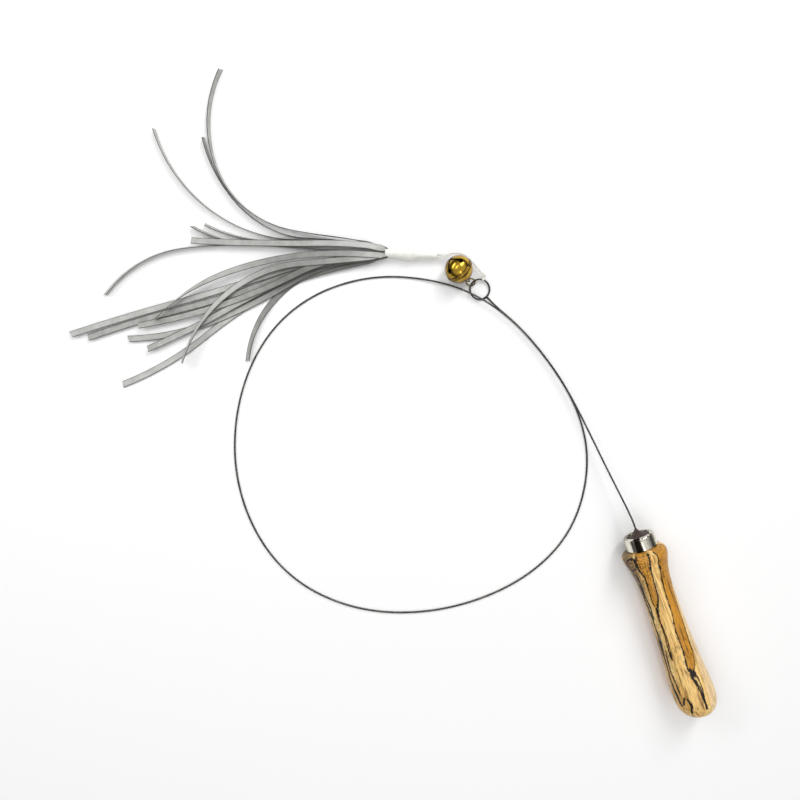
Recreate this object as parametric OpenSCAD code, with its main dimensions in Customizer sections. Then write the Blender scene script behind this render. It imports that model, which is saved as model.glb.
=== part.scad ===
// Cat teaser wand: turned handle, ferrule, looped steel wire, bell and a lure of soft strips.
// It lies on a surface at z = 0, with the handle along Y and the wire leaving it towards +Y.

/* [Handle] */
// Length of the handle from the ferrule's mouth to the round butt
handle_len = 118.5; // [90:0.5:180]
// Diameter of the bead behind the ferrule
head_d = 27.6; // [24:0.2:36]
// Diameter of the round butt
butt_d = 25.6; // [22:0.2:28]
// Depth of the blind bore that takes the wire
bore_depth = 45; // [20:1:80]
// Diameter of the bore that takes the wire and its glue
bore_d = 2; // [1.6:0.1:4]

/* [Ferrule] */
// Outer diameter of the ferrule
ferrule_d = 19; // [16:0.2:22]
// Length of the ferrule
ferrule_len = 9.5; // [7:0.5:16]
// Wall of the ferrule
ferrule_wall = 0.8; // [0.5:0.1:1.5]
// Diameter of the ferrule's open mouth inside its rim
mouth_d = 13.4; // [11:0.2:15]
// Thickness of the ferrule's rolled rim, along the handle
rim_d = 2; // [1:0.1:2.2]
// Height of the potting cone that climbs the wire
cone_h = 3.6; // [2:0.2:6]

/* [Wire] */
// Diameter of the steel wire
wire_d = 1.2; // [0.8:0.1:1.6]
// Diameter of the eye, measured along the middle of its wire
eye_d = 12.8; // [11:0.2:15]
// Length of the straight neck between the eye and the free wire
neck_len = 3; // [2:0.5:5]
// Angle by which the linked side of the eye is lifted
eye_tilt = 8; // [7:0.5:10]

/* [Bell] */
// Outer diameter of the bell
bell_d = 17.5; // [15:0.5:19]
// Wall of the bell's shells
bell_wall = 0.6; // [0.4:0.1:0.9]
// Width of the bell's slots
slot_w = 0.9; // [0.6:0.1:1.5]
// Diameter of the round holes at the ends of the slots
slot_hole_d = 2.4; // [1.4:0.1:3]
// Diameter of the loose ball
clapper_d = 5; // [3.5:0.5:6]
// Diameter of the wire of the bell's shank
shank_wire_d = 0.9; // [0.7:0.1:1.1]
// Inner diameter of the jump ring
ring_id = 4.6; // [4.2:0.1:5.2]
// Diameter of the jump ring's wire
ring_wire_d = 1; // [0.6:0.1:1.1]

/* [Lure] */
// Diameter of the white cord
cord_d = 1.1; // [0.8:0.1:1.4]
// Diameter of the knot beside the eye
knot_d = 2; // [1.8:0.1:2.6]
// Outer diameter of the sleeve's wide end
sleeve_d = 6; // [5.6:0.2:7]
// Outer diameter of the sleeve's bulge
bulge_d = 9; // [8.4:0.2:11]
// Outer diameter of the sleeve's narrow end
sleeve_tip_d = 4.8; // [4:0.2:6]
// Wall of the sleeve
sleeve_wall = 0.5; // [0.3:0.1:0.8]
// Length of the sleeve
sleeve_len = 32; // [26:1:45]
// Length of the longest strip tail
strip_len = 204; // [120:1:260]
// Width of a strip
strip_w = 4; // [3:0.2:4.4]
// Thickness of a strip
strip_t = 0.5; // [0.3:0.05:0.5]

/* [Hidden] */
strip_count = 16;
upper_count = 7;
strip_names = [for (k = [1:strip_count]) str("strip_", k < 10 ? "0" : "", k)];

// Smoothness and running gaps
$fn = 60;
cut_over = 0.5;      // how far a cutter runs past the face that it cuts
link_slack = 0.5;    // play in each link of the bell's chain
soft_gap = 0.15;     // gap between soft pieces that move on each other

// Places on the surface, seen from above
mouth_at = [140.4, -123];  // ferrule's mouth
eye_at = [101.5, 54.5];  // middle of the eye
sleeve_at = [53.4, 95.9];  // wide end of the sleeve
link_heading = 124;      // direction from the eye's middle to its link with the jump ring
bell_heading = 118;      // direction from the shank to the bell
tie_heading = 52;        // direction from the eye's middle to the cord's turn
neck_heading = -65.5;    // direction from the eye's middle to its neck
sleeve_heading = 157.6;  // direction from the narrow end of the sleeve to its wide end
ring_roll = -50;         // how far the jump ring leans over on its two links
ring_pitch = 28;         // how far the jump ring rises from the eye to the shank
shank_turn = 135;        // turn of the shank about the bell's axis
slot_turn = 60;          // turn of the bell's slots about its shank

// Handle: places along it as shares of its wooden length, and radii as shares of the bead's radius
// Each row is [place behind the ferrule, radius], and the second table's radii are shares of the butt's
neck_profile_shares = [
    [0.000, 0.80], [0.010, 0.92], [0.022, 0.98], [0.036, 1.00], [0.055, 0.985], [0.080, 0.925],
    [0.110, 0.85], [0.145, 0.785], [0.185, 0.738], [0.235, 0.712], [0.300, 0.706], [0.380, 0.715],
    [0.460, 0.738], [0.540, 0.762], [0.620, 0.795]];
butt_profile_shares = [
    [0.690, 0.885], [0.760, 0.942], [0.820, 0.985], [0.865, 1.000], [0.900, 0.985], [0.930, 0.935],
    [0.955, 0.845], [0.975, 0.700], [0.988, 0.530], [0.996, 0.320], [1.000, 0.000]];
head_place_share = 0.036;  // place of the bead's widest ring
butt_place_share = 0.865;  // place of the butt's widest ring
bead_lap = 0.9;            // how far the ferrule stands back over the bead's shoulder
wood_len = handle_len - ferrule_len + bead_lap;
tenon_len = ferrule_len - bead_lap - rim_d;
tenon_r = ferrule_d / 2 - ferrule_wall;
head_r = head_d / 2;
butt_r = butt_d / 2;
wood_start = ferrule_len - bead_lap;
handle_pitch = atan((head_r - butt_r) / ((butt_place_share - head_place_share) * wood_len));
mouth_z = head_r * cos(handle_pitch)
    + (wood_start + head_place_share * wood_len) * sin(handle_pitch);
cone_tip_r = 1;            // radius of the potting where the wire leaves it
cone_steps = 8;
cone_power = 1.35;         // how hollow the cone's flank is, with 1 for a straight one
plug_depth = wood_start - tenon_len;

// Wire
wire_r = wire_d / 2;
lead_len = 8;              // straight run of the wire out of the potting
handle_dir = [0, cos(handle_pitch), sin(handle_pitch)];
wire_exit = [mouth_at.x, mouth_at.y, mouth_z] + cone_h * handle_dir;
eye_r = eye_d / 2;
eye_mid_z = wire_r + eye_r * sin(eye_tilt);
neck_dir = [cos(neck_heading), sin(neck_heading), 0];
neck_root_z = eye_mid_z + eye_r * sin(eye_tilt) * cos(neck_heading - link_heading);
neck_root = [eye_at.x, eye_at.y, neck_root_z] + eye_r * neck_dir;
neck_tip = neck_root + neck_len * neck_dir;
// Points that steer the wire from the handle round the loop to the eye
wire_route = [
    [139, -96, 11.5], [137, -73, 7.6], [135, -48, 5.0], [132, -24, 4.0], [126, 0, 3.5],
    [118, 22, 3.2], [106, 42, 3.6], [90, 60, 3.2], [69, 74, 0.8], [46, 84, 0.6],
    [22, 88, 0.6], [-1, 87, 0.6], [-24, 80, 0.6], [-44, 67, 0.6], [-61, 49, 0.6],
    [-74, 28, 0.6], [-83, 5, 0.6], [-87, -19, 0.6], [-86, -43, 0.6], [-80, -66, 0.6],
    [-68, -87, 0.6], [-51, -104, 0.6], [-31, -117, 0.6], [-8, -126, 0.6], [16, -131, 0.6],
    [41, -132, 0.6], [65, -129, 0.6], [88, -121, 0.6], [107, -108, 0.6], [122, -89, 0.6],
    [132, -67, 0.6], [135, -43, 0.6], [132, -19, 0.6], [125, 5, 0.6], [116, 27, 0.6]];
tube_sides = 8;
rings_per_span = 2;

// Bell and its links
bell_r = bell_d / 2;
shank_r = shank_wire_d / 2;
ring_r = ring_wire_d / 2;
ring_mid_r = ring_id / 2 + ring_r;
shank_bow_r = 1.7;         // radius of the shank's round end, along the middle of its wire
shank_rise = 0.4;          // how far the shank's legs stand clear of the bell before its bow
shank_peen = 0.3;          // how far the shank's legs reach inside the shell
eye_to_ring = ring_id / 2 - wire_r - link_slack;
ring_to_shank = ring_id / 2 - shank_r - link_slack;
link_len = eye_to_ring + ring_to_shank;
shank_len = shank_bow_r + shank_rise + bell_r;
function toward(heading, pitch) = [cos(pitch) * cos(heading), cos(pitch) * sin(heading), sin(pitch)];
link_eye = [eye_at.x, eye_at.y, eye_mid_z]
    + eye_r * toward(link_heading, eye_tilt);
ring_mid = link_eye + eye_to_ring * toward(link_heading, ring_pitch);
link_bell = link_eye + link_len * toward(link_heading, ring_pitch);
bell_pitch = asin((bell_r - link_bell.z) / shank_len);
bell_mid = link_bell + shank_len * toward(bell_heading, bell_pitch);
belt_w = 1.7;              // width of the rolled belt
belt_out = 0.35;           // how far the belt stands out of the shell
seam_at = 0.5;             // place of the belt's middle, from the bell's middle to the shank
slot_reach = 51;           // angle from the bell's pole to the round holes
clapper_gap = 0.15;        // play under the loose ball

// Cord and knots
cord_r = cord_d / 2;
turn_wire_r = 0.4;         // radius of the single cord in the turn round the eye
turn_mid_r = wire_r + soft_gap + turn_wire_r;
knot_r = knot_d / 2;
tie_reach = eye_r + turn_mid_r + turn_wire_r + soft_gap + knot_r;
tie_z = eye_mid_z + eye_r * sin(eye_tilt) * cos(tie_heading - link_heading);
tie_dir = [cos(tie_heading), sin(tie_heading), 0];
knot_mid = [eye_at.x, eye_at.y, tie_z] + tie_reach * tie_dir;
cord_heading = 112;        // direction in which the cord leaves the knot
cord_start = knot_mid + (knot_r + soft_gap) * [cos(cord_heading), sin(cord_heading), 0];

// Sleeve
sleeve_r = sleeve_d / 2;
bulge_r = bulge_d / 2;
sleeve_tip_r = sleeve_tip_d / 2;
sleeve_z = bulge_r;
bulge_start_share = 0.1;   // places along the sleeve from its wide end
bulge_mid_share = 0.46;
bulge_end_share = 0.66;
sleeve_steps = 8;
sleeve_dir = [cos(sleeve_heading), sin(sleeve_heading), 0];
sleeve_tip = [sleeve_at.x, sleeve_at.y, sleeve_z] - sleeve_len * sleeve_dir;
bulge_mid = bulge_mid_share * sleeve_len;
inner_knot_r = bulge_r - sleeve_wall - soft_gap;
// Points that steer the cord from the knot to the sleeve
cord_route = [[103.8, 69, 2.3], [102.2, 74, 3], [99.2, 78.4, 3.8], [94.6, 81.2, 4.3], [89, 82, 4.5]];

// Strips: one tail a row, the first seven in the upper bunch and the rest in the lower one
flare_len = 4;             // how far the folded heads flare out of the sleeve
fold_sides = 32;           // sides of the folded heads where they flare
edge_pitch = strip_t + 0.15;
flat_pitch = strip_t + 0.05;
drop_len = 75;             // length over which the tails come down to the surface
strip_length_shares = [0.92, 0.72, 0.87, 0.56, 0.60, 0.91, 0.59,
    0.58, 0.91, 0.84, 0.95, 1.00, 0.79, 0.79, 0.76, 0.75];
// Headings at the start, at one third, at two thirds and at the tip of each tail
strip_headings = [
    [-5, -12, -68, -113], [-5, -4, -45, -75], [-5, -2, -37, -71], [-5, -1, -2, -24], [-4, -1, 2, -28],
    [1, -2, 8, 57], [-4, 1, 2, -1],
    [6, 22, 54, 88], [10, 28, 42, 24], [2, 34, 25, 4], [5, 24, 17, 22], [2, 21, 18, 21],
    [0, 28, 32, 26], [-2, 30, 21, 12], [8, 8, 44, 77], [-4, 9, 24, 50]];
// How far each tail leans over onto its edge, at its start and at its tip
strip_leans = [
    [90, 80], [90, 90], [90, 88], [90, 70], [90, 75], [90, 60], [0, 0],
    [0, 45], [0, 0], [0, 0], [0, 0], [0, 0], [0, 0], [0, 0], [0, 60], [0, 75]];
strip_steps = 14;

// Greys of the strips, from light to dark, taken in turn
strip_greys = ["#b9b9b4", "#adada8", "#c3c3bf"];

// Spline through steering points, with straight square ends
function padded(p) = concat([2 * p[0] - p[1]], p, [2 * p[len(p) - 1] - p[len(p) - 2]]);
function blend_point(p, i, t) =
    (pow(1 - t, 3) * p[i] + (3 * pow(t, 3) - 6 * pow(t, 2) + 4) * p[i + 1]
    + (-3 * pow(t, 3) + 3 * pow(t, 2) + 3 * t + 1) * p[i + 2] + pow(t, 3) * p[i + 3]) / 6;
function spline(points, per_span) = let(p = padded(points)) concat(
    [for (i = [0:len(points) - 2], k = [0:per_span - 1]) blend_point(p, i, k / per_span)],
    [points[len(points) - 1]]);
function unit(v) = v / norm(v);
function tangent(line, i) = unit(line[min(i + 1, len(line) - 1)] - line[max(i - 1, 0)]);
function path_len(line) = norm_sum([for (i = [1:len(line) - 1]) norm(line[i] - line[i - 1])]);
function norm_sum(values) = values * [for (v = values) 1];

// Round tube along a line of points
module tube(line, radius, sides) {
    last = len(line) - 1;
    points = [for (i = [0:last])
        let(along = tangent(line, i), side = unit([-along.y, along.x, 0]), up = cross(side, -along))
        for (k = [0:sides - 1])
            line[i] + radius * (cos(360 * (k + 0.5) / sides) * side + sin(360 * (k + 0.5) / sides) * up)];
    walls = [for (i = [0:last - 1], k = [0:sides - 1])
        let(a = i * sides + k, b = i * sides + (k + 1) % sides)
        each [[a, a + sides, b + sides], [a, b + sides, b]]];
    near_cap = [for (k = [1:sides - 2]) [0, k, k + 1]];
    far_cap = [for (k = [1:sides - 2]) [last * sides, last * sides + k + 1, last * sides + k]];
    polyhedron(points, concat(walls, near_cap, far_cap));
}

// Torus about +Z
module ring(mid_r, tube_r) {
    rotate_extrude() translate([mid_r, 0]) circle(tube_r);
}

// Puts a piece that is drawn about +Z onto the handle's axis, with the ferrule's mouth at z = 0
module on_handle() {
    translate([mouth_at.x, mouth_at.y, mouth_z]) rotate([handle_pitch - 90, 0, 0]) children();
}

module handle_wood() {
    outline = concat(
        [[0, -wood_start + tenon_len], [tenon_r, -wood_start + tenon_len], [tenon_r, -wood_start]],
        [for (row = neck_profile_shares) [row[1] * head_r, -wood_start - row[0] * wood_len]],
        [for (row = butt_profile_shares) [row[1] * butt_r, -wood_start - row[0] * wood_len]]);
    color("#d9b27c") on_handle() difference() {
        rotate_extrude() polygon(outline);
        translate([0, 0, -plug_depth - bore_depth]) cylinder(r = bore_d / 2, h = bore_depth + cut_over);
    }
}

module ferrule() {
    outer_r = ferrule_d / 2;
    round_r = rim_d / 2;
    color("#c9c6bd") on_handle() rotate_extrude() {
        difference() {
            translate([tenon_r, -wood_start]) square([ferrule_wall, wood_start - round_r]);
            translate([tenon_r, -wood_start - rim_d]) square([ferrule_wall, rim_d]);
        }
        translate([mouth_d / 2 + round_r, -round_r]) circle(round_r);
        translate([outer_r - round_r, -round_r]) circle(round_r);
        translate([mouth_d / 2 + round_r, -rim_d]) square([outer_r - mouth_d / 2 - rim_d, rim_d]);
    }
}

module potting_plug() {
    mouth_r = mouth_d / 2;
    rim_r = rim_d / 2;
    chord_r = rim_r / cos(45 / cone_steps);
    cone = [for (k = [0:cone_steps]) let(t = k / cone_steps)
        [cone_tip_r + (mouth_r - cone_tip_r) * pow(1 - t, cone_power), -rim_r + t * (cone_h + rim_r)]];
    color("#3a211b") on_handle() difference() {
        rotate_extrude() polygon(concat(
            [[0, -plug_depth], [tenon_r, -plug_depth], [tenon_r, -rim_d], [mouth_r + rim_r, -rim_d]],
            [for (k = [1:cone_steps]) let(a = 90 * (k - 0.5) / cone_steps)
                [mouth_r + rim_r - chord_r * sin(a), -rim_r - chord_r * cos(a)]],
            cone, [[0, cone_h]]));
        translate([0, 0, -plug_depth - cut_over]) cylinder(r = wire_r, h = plug_depth + cone_h + 2 * cut_over);
    }
}

module adhesive_sleeve() {
    color("#6b4a2c") on_handle() translate([0, 0, -plug_depth - bore_depth]) difference() {
        cylinder(r = bore_d / 2, h = bore_depth);
        translate([0, 0, -cut_over]) cylinder(r = wire_r, h = bore_depth + 2 * cut_over);
    }
}

module wire_tang() {
    color("#5a5a58") on_handle() translate([0, 0, -plug_depth - bore_depth])
        cylinder(r = wire_r, h = plug_depth + bore_depth + cone_h);
}

wire_line = spline(concat(
    [wire_exit, wire_exit + lead_len * handle_dir], wire_route,
    [neck_tip + lead_len * neck_dir, neck_tip]), rings_per_span);

module wire_cable() {
    color("#4d4d4b") tube(wire_line, wire_r, tube_sides);
}

module wire_eye() {
    color("#3c3c3a") {
        translate([eye_at.x, eye_at.y, eye_mid_z]) rotate([0, -eye_tilt, link_heading]) ring(eye_r, wire_r);
        translate(neck_root) rotate([0, 90, neck_heading]) cylinder(r = wire_r, h = neck_len);
    }
}

module jump_ring() {
    color("#8f7a2e") translate(ring_mid) rotate([0, 90 + ring_pitch, link_heading + 180])
        rotate(ring_roll) rotate([90, 0, 0]) ring(ring_mid_r, ring_r);
}

// Puts a piece that is drawn about the bell's middle, with its shank towards +Z, in place
module on_bell() {
    translate(bell_mid) rotate([0, 90 + bell_pitch, bell_heading + 180]) children();
}

module bell_shell() {
    difference() {
        sphere(bell_r);
        sphere(bell_r - bell_wall);
    }
}

module bell_crown() {
    half_belt = belt_w / 2;
    color("#d4a832") on_bell() difference() {
        union() {
            intersection() {
                bell_shell();
                translate([0, 0, seam_at + bell_r / 2]) cube([3 * bell_r, 3 * bell_r, bell_r], center = true);
            }
            difference() {
                translate([0, 0, seam_at - half_belt]) cylinder(r = bell_r + belt_out, h = belt_w);
                sphere(bell_r);
            }
        }
        for (side = [-1, 1]) rotate(shank_turn) translate([0, side * shank_bow_r, 0])
            cylinder(r = shank_r, h = 2 * bell_r);
    }
}

module bell_cup() {
    color("#d4a832") on_bell() rotate(slot_turn) difference() {
        intersection() {
            bell_shell();
            translate([0, 0, seam_at - bell_r]) cube([3 * bell_r, 3 * bell_r, 2 * bell_r], center = true);
        }
        for (turn = [0, 90]) rotate(turn) {
            translate([0, 0, -bell_r * (1 + cos(slot_reach)) / 2 - cut_over / 2])
                cube([2 * bell_r, slot_w, bell_r * (1 - cos(slot_reach)) + cut_over], center = true);
            for (side = [-1, 1]) rotate([0, side * slot_reach, 0])
                translate([0, 0, -bell_r - cut_over]) cylinder(r = slot_hole_d / 2, h = bell_wall + 3 * cut_over);
        }
    }
}

module bell_shank() {
    bow_z = bell_r + shank_rise;
    leg_low = sqrt(pow(bell_r - bell_wall, 2) - pow(shank_bow_r, 2)) - shank_peen;
    color("#b8912b") on_bell() rotate(shank_turn) {
        translate([0, 0, bow_z]) rotate([90, 0, 90]) rotate_extrude(angle = 180)
            translate([shank_bow_r, 0]) circle(shank_r);
        for (side = [-1, 1]) translate([0, side * shank_bow_r, leg_low])
            cylinder(r = shank_r, h = bow_z - leg_low);
    }
}

module bell_clapper() {
    color("#8c8c8c") translate(bell_mid - [0, 0, bell_r - bell_wall - clapper_gap - clapper_d / 2])
        sphere(d = clapper_d);
}

module cord_loop() {
    color("#e9e9e2") translate([eye_at.x, eye_at.y, tie_z] + eye_r * tie_dir)
        rotate([90, 0, tie_heading]) ring(turn_mid_r, turn_wire_r);
}

module cord_knot() {
    color("#e9e9e2") translate(knot_mid) sphere(r = knot_r);
}

cord_line = spline(concat([cord_start], cord_route, [sleeve_tip - cord_d * sleeve_dir, sleeve_tip]), rings_per_span);

module lure_cord() {
    color("#efefe8") tube(cord_line, cord_r, tube_sides);
}

// Puts a piece that is drawn about +Z, with the wide end of the sleeve at z = 0, on the sleeve's axis
module on_sleeve() {
    translate([sleeve_at.x, sleeve_at.y, sleeve_z]) rotate([0, 90, sleeve_heading]) children();
}

function ease(t) = t < 0 ? 0 : t > 1 ? 1 : t * t * (3 - 2 * t);
function sleeve_radius(place) = place < bulge_mid_share
    ? sleeve_r + (bulge_r - sleeve_r) * ease((place - bulge_start_share) / (bulge_mid_share - bulge_start_share))
    : bulge_r + (sleeve_tip_r - bulge_r) * ease((place - bulge_mid_share) / (bulge_end_share - bulge_mid_share));
sleeve_places = concat([0],
    [for (k = [0:2 * sleeve_steps]) bulge_start_share
        + (bulge_end_share - bulge_start_share) * k / (2 * sleeve_steps)], [1]);

module lure_sleeve() {
    color("#f7f7f1") on_sleeve() rotate_extrude() polygon(concat(
        [for (p = sleeve_places) [sleeve_radius(p), -p * sleeve_len]],
        [for (k = [len(sleeve_places) - 1:-1:0]) let(p = sleeve_places[k])
            [sleeve_radius(p) - sleeve_wall, -p * sleeve_len]]));
}

module sleeve_knot() {
    color("#e4e4dc") on_sleeve() {
        translate([0, 0, -bulge_mid]) sphere(r = inner_knot_r);
        translate([0, 0, -sleeve_len]) cylinder(r = sleeve_tip_r - sleeve_wall, h = sleeve_len - bulge_mid);
    }
}

stack_low = sleeve_z - (strip_count - upper_count) * flat_pitch / 2;
stack_high = stack_low + (strip_count - upper_count) * flat_pitch;
fan_low = stack_high - strip_w - strip_t - flat_pitch / 2;

module strip_folds() {
    head_r_in = sleeve_r - sleeve_wall - soft_gap / 3;
    head_end = bulge_mid - inner_knot_r - soft_gap;
    color("#8f8f8a") on_sleeve() {
        translate([0, 0, -head_end]) cylinder(r = head_r_in, h = head_end);
        hull() {
            cylinder(r = head_r_in, h = strip_t, $fn = fold_sides);
            translate([sleeve_z - stack_high, -strip_w - strip_t, flare_len - strip_t])
                cube([stack_high - stack_low, 2 * (strip_w + strip_t), strip_t]);
        }
    }
}

// One tail: its line, seen in the sleeve's own frame, with x out of the sleeve and z up
function heading_at(row, t) = t < 1 / 3 ? row[0] + (row[1] - row[0]) * 3 * t
    : t < 2 / 3 ? row[1] + (row[2] - row[1]) * (3 * t - 1)
    : row[2] + (row[3] - row[2]) * (3 * t - 2);
function walk(row, length, at, i = 0) = i == strip_steps ? [at]
    : let(h = heading_at(row, (i + 0.5) / strip_steps))
    concat([at], walk(row, length, at + length / strip_steps * [cos(h), sin(h)], i + 1));

function strip_side(k) = k < upper_count - 1 ? -(upper_count - 1 - k - 0.5) * edge_pitch
    : k == upper_count - 1 ? -(strip_w + strip_t) / 2 : (strip_w + strip_t) / 2;
function strip_root_z(k) = k < upper_count - 1 ? fan_low
    : k == upper_count - 1 ? fan_low + strip_w + flat_pitch / 2 : stack_low + (k - upper_count) * flat_pitch;
function strip_rest_z(k) = k < upper_count - 1 ? 0
    : k == upper_count - 1 ? strip_w + flat_pitch / 2 : (k - upper_count) * flat_pitch;

module strip(k) {
    length = strip_len * strip_length_shares[k];
    line = walk(strip_headings[k], length, [flare_len, strip_side(k)]);
    leans = strip_leans[k];
    points = [for (i = [0:strip_steps])
        let(t = i / strip_steps,
            heading = i == 0 ? 0 : heading_at(strip_headings[k], t),
            lean = leans[0] + (leans[1] - leans[0]) * ease(2 * t - 1),
            down = ease(t * length / drop_len),
            low = strip_root_z(k) * (1 - down) + strip_rest_z(k) * down,
            side = [-sin(heading), cos(heading), 0],
            wide = strip_w / 2 * (cos(lean) * side + [0, 0, sin(lean)]),
            thick = strip_t / 2 * ([0, 0, cos(lean)] - sin(lean) * side),
            mid = [line[i].x, line[i].y, low + abs(wide.z) + abs(thick.z) - sleeve_z])
        each [mid - wide - thick, mid + wide - thick, mid + wide + thick, mid - wide + thick]];
    last = 4 * strip_steps;
    walls = [for (i = [0:strip_steps - 1], c = [0:3])
        let(a = 4 * i + c, b = 4 * i + (c + 1) % 4) each [[a, a + 4, b + 4], [a, b + 4, b]]];
    ends = [[0, 1, 2], [0, 2, 3], [last, last + 2, last + 1], [last, last + 3, last + 2]];
    color(strip_greys[k % len(strip_greys)])
        translate([sleeve_at.x, sleeve_at.y, sleeve_z]) rotate(sleeve_heading)
            polyhedron(points, concat(walls, ends));
}

// Least gap between two passes of the wire, leaving out places that are next to each other along it
pass_apart = 12;           // rings of the tube
wire_gap = min([for (i = [0:len(wire_line) - 1], k = [i + pass_apart:1:len(wire_line) - 1])
    norm(wire_line[i] - wire_line[k])]) - wire_d;
echo(wire_length = path_len(wire_line), least_gap_in_wire = wire_gap);
echo(cord_length = path_len(cord_line), bell_mid = bell_mid, link_eye = link_eye, link_bell = link_bell, knot_mid = knot_mid);
echo(mouth_z = mouth_z, handle_pitch = handle_pitch, bell_pitch = bell_pitch, cord_start = cord_start, wire_exit = wire_exit, neck_tip = neck_tip);

handle_wood();
ferrule();
potting_plug();
adhesive_sleeve();
wire_tang();
wire_cable();
wire_eye();
jump_ring();
bell_crown();
bell_cup();
bell_shank();
bell_clapper();
cord_loop();
cord_knot();
lure_cord();
sleeve_knot();
lure_sleeve();
strip_folds();
for (k = [0:strip_count - 1]) strip(k);
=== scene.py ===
# A cat teaser wand lying on a pale table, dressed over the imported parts
import math
import random
from math import atan2, cos, pi, radians, sin

import bpy
from mathutils import Euler, Matrix, Vector, noise


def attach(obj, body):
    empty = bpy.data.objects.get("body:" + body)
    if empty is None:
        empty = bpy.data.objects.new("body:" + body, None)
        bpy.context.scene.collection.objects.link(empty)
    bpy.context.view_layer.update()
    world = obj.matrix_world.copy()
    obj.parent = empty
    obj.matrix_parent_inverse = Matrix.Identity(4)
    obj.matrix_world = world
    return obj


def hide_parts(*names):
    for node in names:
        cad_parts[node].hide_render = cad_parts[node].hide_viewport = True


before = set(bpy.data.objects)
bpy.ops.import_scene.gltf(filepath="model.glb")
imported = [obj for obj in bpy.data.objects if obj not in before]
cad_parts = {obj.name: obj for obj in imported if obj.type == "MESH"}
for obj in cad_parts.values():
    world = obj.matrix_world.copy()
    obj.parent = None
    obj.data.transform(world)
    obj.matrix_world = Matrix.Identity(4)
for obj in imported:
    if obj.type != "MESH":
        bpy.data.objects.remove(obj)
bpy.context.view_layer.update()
mm = 0.001
scene = bpy.context.scene
print("Frame loaded with", len(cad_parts), "solids")

# Camera straight above the table, turned as the photograph was
camera = {"at": (0.0298, 0.0052, 0.450), "turn": -19.7, "halfView": 0.256}
bpy.ops.object.camera_add(location=camera["at"], rotation=(0, 0, radians(camera["turn"])))
scene.camera = bpy.context.object
scene.camera.data.angle = 2 * math.atan(camera["halfView"] / camera["at"][2])
print("Camera set")


# Shader maths: one wrapped socket, written as ordinary sums
class Shade:
    def __init__(self, tree, socket=None):
        self.tree = tree
        self.socket = socket

    def node(self, kind, inputs=None, output=0, **settings):
        made = self.tree.nodes.new("ShaderNode" + kind)
        for name, value in settings.items():
            if name == "stops":
                fillRamp(made.color_ramp, value)
            else:
                setattr(made, name, value)
        for name, value in (inputs or {}).items():
            if isinstance(value, Shade):
                self.tree.links.new(value.socket, made.inputs[name])
            else:
                made.inputs[name].default_value = value
        return Shade(self.tree, made.outputs[output] if len(made.outputs) else None)

    def sum(self, operation, *values):
        return self.node("Math", dict(enumerate(values)), operation=operation)

    def __add__(self, other):
        return self.sum("ADD", self, other)

    __radd__ = __add__

    def __sub__(self, other):
        return self.sum("SUBTRACT", self, other)

    def __rsub__(self, other):
        return self.sum("SUBTRACT", other, self)

    def __mul__(self, other):
        return self.sum("MULTIPLY", self, other)

    __rmul__ = __mul__

    def __truediv__(self, other):
        return self.sum("DIVIDE", self, other)

    def __abs__(self):
        return self.sum("ABSOLUTE", self)


def fillRamp(ramp, stops):
    while len(ramp.elements) < len(stops):
        ramp.elements.new(1.0)
    for element, (place, value) in zip(ramp.elements, stops):
        element.position = place
        element.color = (value, value, value, 1)


def startMaterial(name):
    material = bpy.data.materials.new(name)
    material.use_nodes = True
    material.node_tree.nodes.clear()
    return material, Shade(material.node_tree).node("TexCoord", output=3)


def grain(place, scale, detail, rough=0.55, warp=0.0):
    return place.node("TexNoise", {"Vector": place, "Scale": scale, "Detail": detail, "Roughness": rough,
                                   "Distortion": warp})


# Noise with its own scale along each axis
def longGrain(place, scale, detail, rough=0.55, warp=0.0, at=(0, 0, 0)):
    stretched = place.node("Mapping", {"Vector": place, "Scale": scale, "Location": at})
    return grain(stretched, 1.0, detail, rough, warp)


# Object coordinates, seen from a piece's own middle and axes
def centred(place, at, turn):
    return place.node("Mapping", {"Vector": place, "Location": [v * mm for v in at],
                                  "Rotation": [radians(a) for a in turn]}, vector_type="TEXTURE")


def rise(value, low, high):
    return value.node("MapRange", {0: value, 1: low, 2: high}, interpolation_type="SMOOTHSTEP")


def sumCap(value, most):
    return value.sum("MINIMUM", value, most)


def mixed(factor, first, second):
    return factor.node("Mix", {0: factor, 6: first, 7: second}, 2, data_type="RGBA")


def parts(place):
    split = place.node("SeparateXYZ", {0: place}).socket.node
    return [Shade(place.tree, output) for output in split.outputs]


def closeMaterial(material, colour, surface, height, depth, strength):
    bump = height.node("Bump", {"Strength": strength, "Distance": depth, "Height": height})
    body = height.node("BsdfPrincipled", {"Base Color": colour, **surface, "Normal": bump})
    body.node("OutputMaterial", {"Surface": body})
    return material


# Curves and small builders
def eased(t):
    t = min(max(t, 0.0), 1.0)
    return t * t * (3 - 2 * t)


def splinePoints(steering, perSpan):
    steering = [Vector(p) for p in steering]
    padded = [2 * steering[0] - steering[1]] + steering + [2 * steering[-1] - steering[-2]]
    points = []
    for i in range(len(steering) - 1):
        a, b, c, d = padded[i:i + 4]
        for k in range(perSpan):
            t = k / perSpan
            points.append(((1 - t) ** 3 * a + (3 * t ** 3 - 6 * t ** 2 + 4) * b
                           + (-3 * t ** 3 + 3 * t ** 2 + 3 * t + 1) * c + t ** 3 * d) / 6)
    return points + [steering[-1]]


def lineFrames(points):
    frames, last = [], len(points) - 1
    for i, point in enumerate(points):
        along = (points[min(i + 1, last)] - points[max(i - 1, 0)]).normalized()
        across = Vector((-along.y, along.x, 0)).normalized()
        frames.append((point, across, along.cross(across)))
    return frames


def lineLength(points):
    return sum((b - a).length for a, b in zip(points, points[1:]))


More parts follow.
